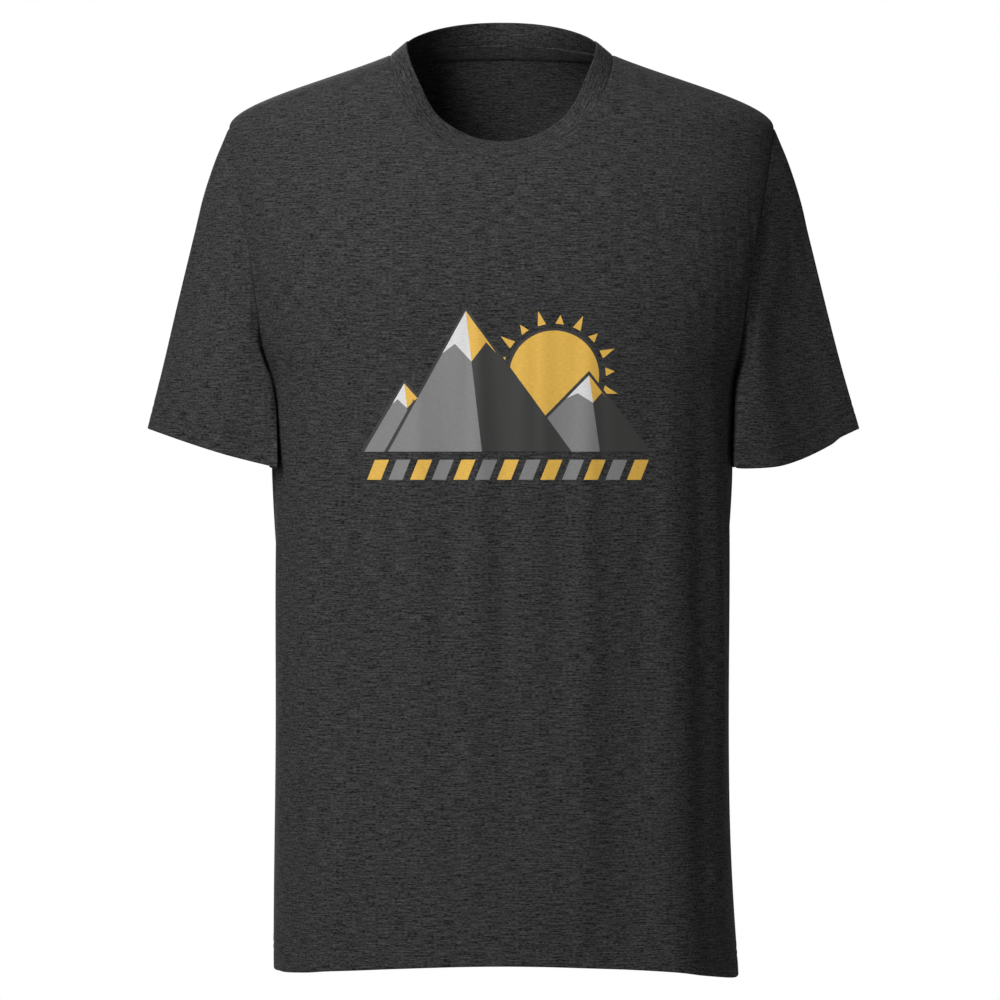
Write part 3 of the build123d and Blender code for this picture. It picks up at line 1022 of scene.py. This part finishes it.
def inked(name, patch):
    """All the print's shapes of one ink, each cut out of a copy of the chest and laid on it."""
    bits = []
    for ink, level, corners in print_shapes():
        if ink != name:
            continue
        corners = [Vector((x + PRINT_MIDDLE[0], y + PRINT_MIDDLE[1])) for x, y in corners]
        if sum(a.x * b.y - b.x * a.y for a, b in zip(corners, corners[1:] + corners[:1])) < 0:
            corners.reverse()
        edges = list(zip(corners, corners[1:] + corners[:1]))
        bit = patch.copy()
        bit.data = patch.data.copy()
        scene.collection.objects.link(bit)
        use(bit)
        bpy.ops.object.mode_set(mode="EDIT")
        for a, b in edges:
            ahead = (b - a).normalized()
            bpy.ops.mesh.select_all(action="SELECT")
            bpy.ops.mesh.bisect(
                plane_co=(a.x * MM, 0, a.y * MM),
                plane_no=(ahead.y, 0, -ahead.x),
                clear_outer=True,
                threshold=0.000001,
            )
        bpy.ops.object.mode_set(mode="OBJECT")
        lift = [vertex.normal * (0.05 + 0.05 * level) * MM for vertex in bit.data.vertices]
        for vertex, up in zip(bit.data.vertices, lift):
            vertex.co += up
        bits.append(bit)
    bare()
    for bit in bits:
        bit.select_set(True)
    bpy.context.view_layer.objects.active = bits[0]
    bpy.ops.object.join()
    piece = bpy.context.object
    piece.name = piece.data.name = name
    thick = piece.modifiers.new("ink", "SOLIDIFY")
    thick.thickness = 0.04 * MM
    thick.offset = -1
    apply_all(piece)
    use(piece)
    bpy.ops.object.shade_smooth_by_angle(angle=radians(40))
    return piece


def worn(points):
    """The small ways in which the worn shirt isn't the same left and right."""
    out = points.copy()
    x, y, z = points.T
    low = np.clip((-z - 560) / 135, 0, 1) ** 2
    # the right side lies a little inwards below the sleeve
    out[:, 0] += 1.2 * np.clip((-z - 200) / 120, 0, 1) * np.clip((-x - 60) / 110, 0, 1)
    # the left side swings out towards the hem, and its corner hangs lower
    out[:, 0] += 5.6 * low * np.clip((x - 60) / 110, 0, 1)
    out[:, 2] -= 5.0 * low * np.clip((x - 90) / 85, 0, 1) ** 2
    return out


# A sleeve hem's depth from the body to the outer fold, as shares of the lofted sleeve's
FRONT_PLACES = [0, 0.05, 0.1, 0.22, 0.5, 0.75, 1]
LEFT_FRONT = [1, 1.25, 1.12, 0.88, 0.46, 0.26, 0.14]
RIGHT_FRONT = [1, 1.75, 1.3, 1.03, 0.84, 0.68, 0.6]
BACK_PLACES = [0, 0.22, 0.5, 0.75, 1]
BOTH_BACK = [1, 1.02, 0.84, 0.68, 0.6]
SLEEVE_PIVOT = 188


def sleeve_hang(points, numbers, side, turn, bow, overlap, front_shape):
    """Swings a sleeve back towards its hem, lays its inner wall on the body, and bows its hem down.

    The turn is in degrees, bow is 1 for the most bowed hem, and overlap is how far the inner wall
    may lie over the body, in millimetres.
    """
    out = points.copy()
    rows = numbers.shape[0]
    for j in range(1, rows):
        share = j / (rows - 1)
        ring = numbers[j]
        x, y, z = (points[ring] * np.array([side, 1, 1])).T
        place = (x - x.min()) / (x.max() - x.min())
        low = (z - z.min()) / (z.max() - z.min())
        # the sleeve is deepest near the body and thins towards its outer fold
        front_thin = np.interp(place, FRONT_PLACES, front_shape)
        back_thin = np.interp(place, BACK_PLACES, BOTH_BACK)
        thin = np.where(y < 0, front_thin, back_thin)
        y = y * (1 + (thin - 1) * (1 - (1 - share) ** 4.5))
        angle = radians(turn) * share * (2 - share)
        arm = x - SLEEVE_PIVOT
        x, y = (SLEEVE_PIVOT + arm * cos(angle), y * cos(angle) + arm * sin(angle))
        deep = np.where(y < 0, np.interp(z, HEIGHTS, DEPTHS[-1]), np.interp(z, HEIGHTS, DEPTHS[1]))
        power = np.interp(z, HEIGHTS, POWERS)
        width = np.interp(z, HEIGHTS, WIDTHS)
        body = width * (1 - np.minimum(np.abs(y) / deep, 0.99) ** power) ** (1 / power)
        near = np.clip((0.34 - low) / 0.26, 0, 1)
        near = near * near * (3 - 2 * near) * (1 - (1 - min(1.0, share * 2)) ** 2)
        shift = near * np.minimum(np.maximum(body + 1.2, width - overlap) - x, 0)
        x = x + shift + 4.4 * bow * (share * place) ** 2
        front = np.where(y < 0, 1.0, 0.6)
        drop = bow * 11 * np.sin(pi * np.clip(place, 0, 1) ** 0.82)
        z = z - drop * share**4 * front + (0.28 - 0.25 * bow) * shift * share**2
        out[ring] = np.stack([side * x, y, z], axis=1)
    return out


# The hanging: how far inside the cloth its form lies, how long the cloth hangs,
# and the most that a point may move
FORM_GAP = 5.0
HANG_FRAMES = 21
GIVE = 6.0
HANG_SETTINGS = {
    "quality": 5,
    "mass": 0.15,
    "tension_stiffness": 25,
    "compression_stiffness": 20,
    "shear_stiffness": 8,
    "bending_stiffness": 0.8,
    "air_damping": 2,
    "shrink_min": -0.02,
}


def settled(points, faces):
    """Lets the cloth hang on a form of its own shape, held at the neck and the shoulders."""
    inside = piece_from("form_draft", points - normals_of(points, faces) * FORM_GAP, faces)
    use(inside)
    bpy.ops.object.modifier_add(type="COLLISION")
    inside.collision.thickness_outer = 0.001
    inside.collision.cloth_friction = 12
    draft = piece_from("cloth_draft", points, faces)
    use(draft)
    held = draft.vertex_groups.new(name="held")
    for number, point in enumerate(points):
        weight = min(1.0, max(0.0, (point[2] + 150) / 80))
        if weight > 0:
            held.add([number], weight, "REPLACE")
    cloth = draft.modifiers.new("hang", "CLOTH")
    for key, value in HANG_SETTINGS.items():
        setattr(cloth.settings, key, value)
    cloth.settings.vertex_group_mass = "held"
    cloth.settings.effector_weights.gravity = 0.6
    cloth.collision_settings.distance_min = 0.001
    cloth.collision_settings.use_self_collision = False
    cloth.point_cache.frame_end = 30
    for step in range(1, HANG_FRAMES + 1):
        scene.frame_set(step)
    use(draft)
    bpy.ops.object.modifier_apply(modifier="hang")
    scene.frame_set(1)
    hung = np.zeros(len(points) * 3)
    draft.data.vertices.foreach_get("co", hung)
    moved = hung.reshape(-1, 3) / MM - points
    bpy.data.objects.remove(draft)
    bpy.data.objects.remove(inside)
    # the held seams keep the cloth's length, so most of the fall is left out
    moved[:, 2] *= 0.1
    # where the sleeves lie against the sides, both stay together
    level = np.exp(-(((points[:, 2] + 270) / 80) ** 2))
    beside = level * np.clip((np.abs(points[:, 0]) - 125) / 35, 0, 1)
    moved *= (1 - 0.85 * beside)[:, None]
    size = np.linalg.norm(moved, axis=1)[:, None] + 1e-9
    return points + moved / size * GIVE * np.tanh(size / GIVE)


# The shirt
start, pieces = lay_out()
faces = sheet_faces(pieces)
start_normals = normals_of(start, faces)
points = settled(start, faces)
points = sleeve_hang(points, pieces["left_sleeve"], 1, 10, 1.0, 0.5, LEFT_FRONT)
points = sleeve_hang(points, pieces["right_sleeve"], -1, 4, 0.15, 5.5, RIGHT_FRONT)
points = worn(points)
points = points + start_normals * fold_heights(start, start_normals)[:, None]
normals = normals_of(points, faces)

front_cloth = body_panel("front_cloth", "front", -1, points, start, normals, pieces)
back_cloth = body_panel("back_cloth", "back", 1, points, start, normals, pieces)
left_sleeve = sleeve_cloth("left_sleeve_cloth", "left_sleeve", 1, points, start, normals, pieces)
right_sleeve = sleeve_cloth("right_sleeve_cloth", "right_sleeve", -1, points, start, normals, pieces)
collar_rib = collar()
neck_tape = neck_binding(points, normals, pieces)
left_tape = shoulder_binding("left_shoulder_binding", 1, points, normals, pieces)
right_tape = shoulder_binding("right_shoulder_binding", -1, points, normals, pieces)

front_rows, back_rows = pieces["front"], pieces["back"][:, ::-1]
hem_rows = []
for distance in BODY_STITCHES:
    front_line = hem_line(points, normals, front_rows, distance)
    back_line = hem_line(points, normals, back_rows[:, 1:-1], distance)
    hem_rows.append(np.concatenate([front_line, back_line]))
body_stitches = stitch_rows("body_hem_stitches", hem_rows)
sleeve_stitches = []
for key in ("left_sleeve", "right_sleeve"):
    lines = [hem_line(points, normals, pieces[key][::-1], distance) for distance in SLEEVE_STITCHES]
    sleeve_stitches.append(stitch_rows(key + "_hem_stitches", lines))

patch = chest_patch(front_cloth)
ink_names = ("print_black", "print_grey", "print_yellow", "print_white")
inks = {name: inked(name, patch) for name in ink_names}
bpy.data.objects.remove(patch)

# Finishes
knit = heather_knit_group()
DARK_FIBRE = (0.013, 0.013, 0.0135)
PALE_THREAD = (0.062, 0.062, 0.064)
jersey = cloth_finish("heather_jersey", knit, DARK_FIBRE, (0.082, 0.082, 0.0832))
rib = cloth_finish("heather_rib", knit, DARK_FIBRE, (0.078, 0.078, 0.0792), 700.0, 0.6)
tape = cloth_finish("seam_tape", knit, (0.022, 0.022, 0.023), PALE_THREAD, 900.0, 0.4)
thread = cloth_finish("sewing_thread", knit, (0.036, 0.036, 0.037), PALE_THREAD, 2600.0, 0.3, False)
ink_colours = {
    "print_yellow": (0.84, 0.50, 0.085),
    "print_grey": (0.23, 0.23, 0.23),
    "print_black": (0.030, 0.030, 0.029),
    "print_white": (0.80, 0.80, 0.80),
}

clothes = {
    front_cloth: ("jersey", jersey, ["front_panel"]),
    back_cloth: ("jersey", jersey, ["back_panel"]),
    left_sleeve: ("jersey", jersey, ["left_sleeve"]),
    right_sleeve: ("jersey", jersey, ["right_sleeve"]),
    collar_rib: ("rib", rib, ["collar_band"]),
    neck_tape: ("tape", tape, ["neck_tape"]),
    left_tape: ("tape", tape, ["left_shoulder_tape"]),
    right_tape: ("tape", tape, ["right_shoulder_tape"]),
    body_stitches: ("thread", thread, []),
    sleeve_stitches[0]: ("thread", thread, []),
    sleeve_stitches[1]: ("thread", thread, []),
}
for name, piece in inks.items():
    clothes[piece] = (name, ink_finish("ink_" + name[6:], ink_colours[name]), [])
for piece, (slot, finish, nodes) in clothes.items():
    piece.data.materials.clear()
    piece.data.materials.append(finish)
    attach(piece, "root")
    if nodes:
        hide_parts(*nodes)


# Floor, backdrop, light and camera
def white_stage(name, shade):
    """A matt pale floor that the camera sees a little brighter than the light makes it."""
    material, tree, shader = new_material(name)
    shader.inputs["Base Color"].default_value = (shade, shade, shade, 1)
    shader.inputs["Roughness"].default_value = 0.9
    seen = add_node(tree, "LightPath", -500, -200).outputs["Is Camera Ray"]
    half = add_node(tree, "Math", -250, -200, {1: 0.5}, {0: seen}, operation="MULTIPLY")
    fed = {"Strength": half.outputs["Value"]}
    glow = add_node(tree, "Emission", 0, -300, {"Color": (1, 1, 1, 1)}, fed)
    fed = {0: shader.outputs["BSDF"], 1: glow.outputs["Emission"]}
    both = add_node(tree, "AddShader", 350, 0, fed=fed)
    feed(tree, tree.nodes["Material Output"], {"Surface": both.outputs["Shader"]})
    return material


bare()
bpy.ops.mesh.primitive_plane_add(size=12, location=(0, 0, -1.35))
floor = bpy.context.object
floor.name = "floor"
floor.data.materials.append(white_stage("pale_floor", 0.8))

world = bpy.data.worlds.new("studio")
scene.world = world
world.use_nodes = True
sky = world.node_tree
backdrop = sky.nodes["Background"]
backdrop.inputs["Color"].default_value = (1, 1, 1, 1)
backdrop.inputs["Strength"].default_value = 0.1
white = add_node(sky, "Background", 0, -200, {"Color": (1, 1, 1, 1), "Strength": 1.0})
paths = add_node(sky, "LightPath", -300, 200).outputs
fed = {0: paths["Is Glossy Ray"], 1: paths["Is Transmission Ray"]}
mirrored = add_node(sky, "Math", -100, 400, fed=fed, operation="MAXIMUM")
fed = {0: paths["Is Camera Ray"], 1: mirrored.outputs["Value"]}
seen = add_node(sky, "Math", -100, 200, fed=fed, operation="MAXIMUM")
fed = {"Fac": seen.outputs["Value"], 1: backdrop.outputs["Background"], 2: white.outputs["Background"]}
either = add_node(sky, "MixShader", 250, 0, fed=fed)
feed(sky, sky.nodes["World Output"], {"Surface": either.outputs["Shader"]})


def soft_lamp(name, place, aim, size, power):
    bare()
    bpy.ops.object.light_add(type="AREA", location=place)
    lamp = bpy.context.object
    lamp.name = name
    lamp.data.size = size
    lamp.data.energy = power
    lamp.data.spread = radians(75)
    lamp.rotation_euler = (Vector(aim) - Vector(place)).to_track_quat("-Z", "Y").to_euler()
    return lamp


key_lamp = soft_lamp("key_lamp", (-1.38, -2.5, 1.4), (0, 0, -0.1), 0.9, 15.6)
key_lamp.data.shape = "RECTANGLE"
key_lamp.data.size_y = 2.4
soft_lamp("top_lamp", (-1.0, -1.3, 2.2), (0, 0, 0), 0.9, 4.2)
soft_lamp("back_lamp", (-0.7, 2.9, 0.7), (0, 0, -0.2), 1.2, 13)

# level with the middle of the shirt, five metres in front of it
bare()
bpy.ops.object.camera_add(location=(-0.0011, -5.0, -0.3397), rotation=(pi / 2, 0, 0))
camera = bpy.context.object
camera.data.sensor_width = 36
camera.data.lens = 235.3
scene.camera = camera

scene.view_settings.view_transform = "Standard"
